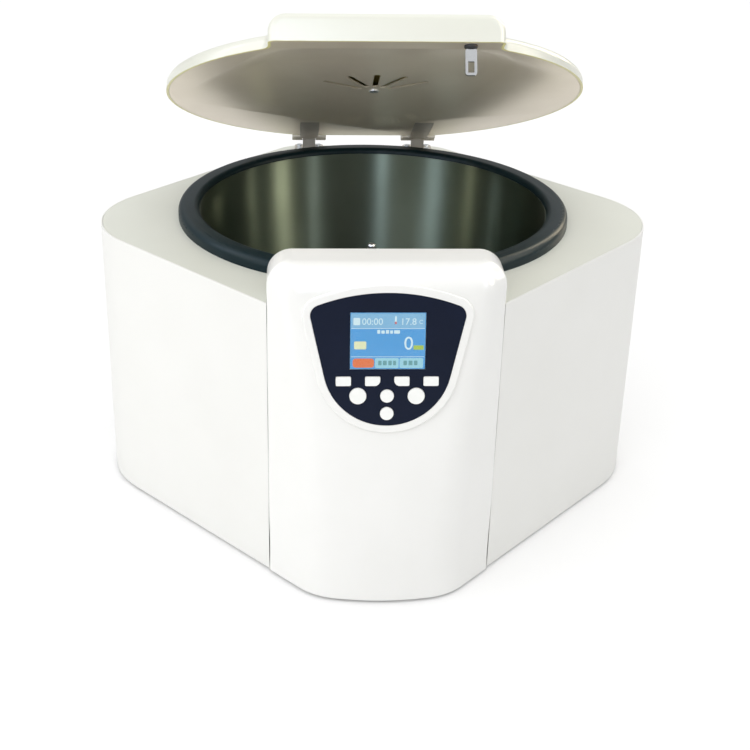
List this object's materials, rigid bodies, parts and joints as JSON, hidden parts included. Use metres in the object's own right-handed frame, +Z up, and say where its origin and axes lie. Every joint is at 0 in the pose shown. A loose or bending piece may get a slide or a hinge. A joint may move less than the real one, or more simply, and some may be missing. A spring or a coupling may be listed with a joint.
{
  "type": "cytocentrifuge",
  "caption": "Bench centrifuge that spins cell samples onto microscope slides: diamond-plan cabinet, steel bowl with a slide rotor, hinged round lid and a leaning front control panel.",
  "frame": {"origin": "middle of the footprint, on the bench under the feet", "axes": "+Z up, -Y towards the control panel at the front, +X to the right as seen from the front"},
  "size_m": [0.5644, 0.5394, 0.5223],
  "materials": {
    "enamel": "satin baked enamel, near white",
    "deck_enamel": "satin baked enamel, light grey",
    "base_steel": "zinc-grey coated sheet",
    "foot_rubber": "matt black",
    "fascia_white": "fine satin moulded plastic, near white",
    "overlay_film": "glossy dark blue film",
    "lcd": "black moulding behind a lit blue screen",
    "window": "clear, flush",
    "key_white": "soft gloss, near white",
    "board_green": "green circuit board",
    "bowl_steel": "drawn stainless steel",
    "gasket_rubber": "smooth grey-green rubber",
    "guard_steel": "grey primer",
    "chassis_steel": "dark grey coat",
    "motor_black": "black coat",
    "steel": "plain steel",
    "mount_rubber": "matt black",
    "boot_rubber": "matt black",
    "lid_white": "satin moulded plastic, near white",
    "liner_grey": "formed sheet, warm grey, satin",
    "hinge_steel": "plain steel, slightly dark",
    "striker_steel": "bright steel",
    "stud_black": "black",
    "zinc_steel": "zinc-plated",
    "rotor_aluminium": "clear anodised",
    "knob_black": "black moulded grip",
    "cap_aluminium": "bright turned",
    "clip_steel": "spring stainless steel",
    "slide_glass": "clear",
    "funnel_plastic": "translucent white plastic",
    "grille_black": "black moulding",
    "inlet_black": "black moulding",
    "pin_brass": "nickel-plated brass",
    "rocker_black": "black moulding",
    "sink_aluminium": "plain extrusion"
  },
  "bodies": {
    "housing": {"base_plate": "base_steel", "rubber_feet": "foot_rubber", "left_side_panel": "enamel", "right_side_panel": "enamel", "rear_panel": "enamel", "top_deck": "deck_enamel", "bowl": "bowl_steel", "bowl_gasket": "gasket_rubber", "guard_ring": "guard_steel", "chassis_plate": "chassis_steel", "chassis_posts": "chassis_steel", "motor_housing": "motor_black", "motor_bearings": "steel", "motor_mounts": "mount_rubber", "shaft_boot": "boot_rubber", "front_fascia": "fascia_white", "control_overlay": "overlay_film", "lcd_module": "lcd", "display_window": "window", "control_board": "board_green", "hinge_base_left": "hinge_steel", "hinge_base_right": "hinge_steel", "hinge_screws": "zinc_steel", "lock_frame": "zinc_steel", "lock_solenoid": "motor_black", "vent_grille": "grille_black", "power_inlet": "inlet_black", "inlet_pins": "pin_brass", "switch_frame": "inlet_black", "rear_screws": "zinc_steel", "drive_board": "board_green", "heat_sink": "sink_aluminium"},
    "lid": {"lid_cover": "lid_white", "lid_liner": "liner_grey", "liner_rivet": "zinc_steel", "striker": "striker_steel", "striker_stud": "stud_black", "hinge_strap_left": "hinge_steel", "hinge_strap_right": "hinge_steel", "hinge_pins": "hinge_steel"},
    "rotor": {"rotor_shaft": "steel", "rotor_body": "rotor_aluminium", "rotor_knob": "knob_black", "knob_cap": "cap_aluminium", "slide_clips": "clip_steel", "sample_funnels": "funnel_plastic", "glass_slides": "slide_glass"},
    "soft_key_1": {"soft_key_1": "key_white"},
    "soft_key_2": {"soft_key_2": "key_white"},
    "soft_key_3": {"soft_key_3": "key_white"},
    "soft_key_4": {"soft_key_4": "key_white"},
    "minus_key": {"minus_key": "key_white"},
    "plus_key": {"plus_key": "key_white"},
    "start_key": {"start_key": "key_white"},
    "stop_key": {"stop_key": "key_white"},
    "power_rocker": {"power_rocker": "rocker_black"},
    "lock_bolt": {"lock_bolt": "steel"}
  },
  "joints": [
    {"name": "lid_hinge", "type": "hinge", "parent": "housing", "child": "lid", "pos_m": [0, 0.248, 0.3035], "axis": [-1, 0, 0], "range_deg": [-28, 42]},
    {"name": "rotor_spin", "type": "hinge", "parent": "housing", "child": "rotor", "pos_m": [0, 0.028, 0.112], "axis": [0, 0, 1], "continuous": true},
    {"name": "soft_key_1_press", "type": "slide", "parent": "housing", "child": "soft_key_1", "axis": [0, 0.9848, -0.1736], "range_m": [0, 0.0008], "stiffness_N_per_m": 400},
    {"name": "soft_key_2_press", "type": "slide", "parent": "housing", "child": "soft_key_2", "axis": [0, 0.9848, -0.1736], "range_m": [0, 0.0008], "stiffness_N_per_m": 400},
    {"name": "soft_key_3_press", "type": "slide", "parent": "housing", "child": "soft_key_3", "axis": [0, 0.9848, -0.1736], "range_m": [0, 0.0008], "stiffness_N_per_m": 400},
    {"name": "soft_key_4_press", "type": "slide", "parent": "housing", "child": "soft_key_4", "axis": [0, 0.9848, -0.1736], "range_m": [0, 0.0008], "stiffness_N_per_m": 400},
    {"name": "minus_key_press", "type": "slide", "parent": "housing", "child": "minus_key", "axis": [0, 0.9848, -0.1736], "range_m": [0, 0.0008], "stiffness_N_per_m": 400},
    {"name": "plus_key_press", "type": "slide", "parent": "housing", "child": "plus_key", "axis": [0, 0.9848, -0.1736], "range_m": [0, 0.0008], "stiffness_N_per_m": 400},
    {"name": "start_key_press", "type": "slide", "parent": "housing", "child": "start_key", "axis": [0, 0.9848, -0.1736], "range_m": [0, 0.0008], "stiffness_N_per_m": 400},
    {"name": "stop_key_press", "type": "slide", "parent": "housing", "child": "stop_key", "axis": [0, 0.9848, -0.1736], "range_m": [0, 0.0008], "stiffness_N_per_m": 400},
    {"name": "power_rocker_tilt", "type": "hinge", "parent": "housing", "child": "power_rocker", "pos_m": [0.038, 0.264, 0.052], "axis": [-1, 0, 0], "range_deg": [0, 16]},
    {"name": "lock_bolt_slide", "type": "slide", "parent": "housing", "child": "lock_bolt", "axis": [0, 1, 0], "range_m": [0, 0.012], "stiffness_N_per_m": 60}
  ]
}
